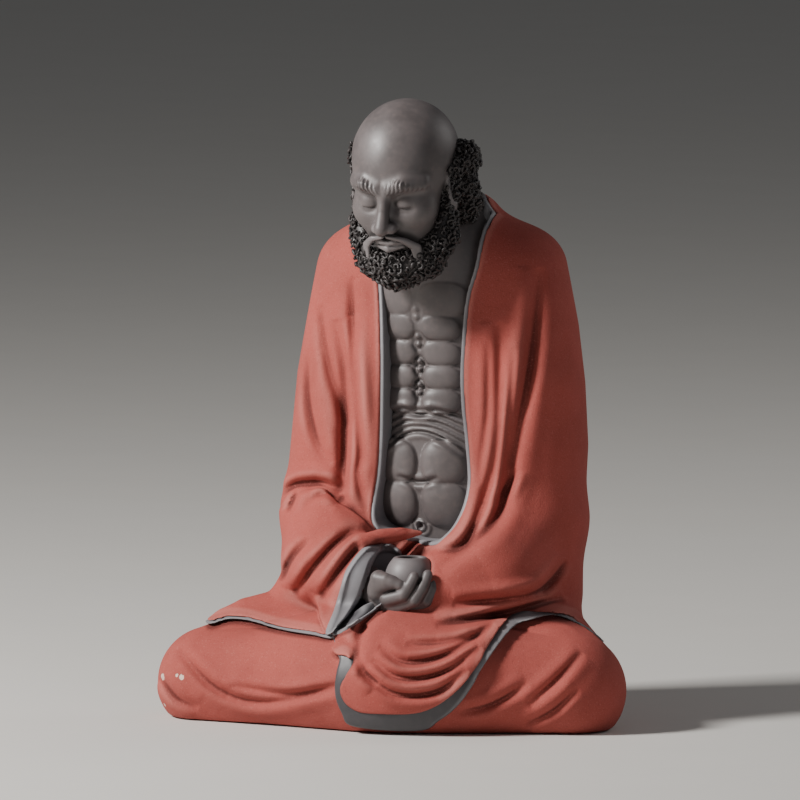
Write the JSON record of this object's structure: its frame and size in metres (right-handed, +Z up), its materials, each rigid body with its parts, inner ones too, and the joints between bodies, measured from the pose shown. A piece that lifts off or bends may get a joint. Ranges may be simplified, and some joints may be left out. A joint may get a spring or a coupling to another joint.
{
  "type": "seated monk statue",
  "caption": "Seated bald, bearded monk in a loose open robe, legs crossed, holding a small hollow bowl in one hand; fired clay, stands flat.",
  "frame": {"origin": "centre of the bounding box, on the ground", "axes": "+Z up, the figure faces -Y, its left hand side is +X"},
  "size_m": [0.2314, 0.1571, 0.3002],
  "materials": {
    "red_clay": "matt, fine sandy grain",
    "dark_clay": "satin, burnished",
    "lining_clay": "satin",
    "hair_clay": "satin, in small curls"
  },
  "bodies": {
    "root": {"figure": "red_clay", "hand_and_bowl": "dark_clay"}
  },
  "joints": []
}
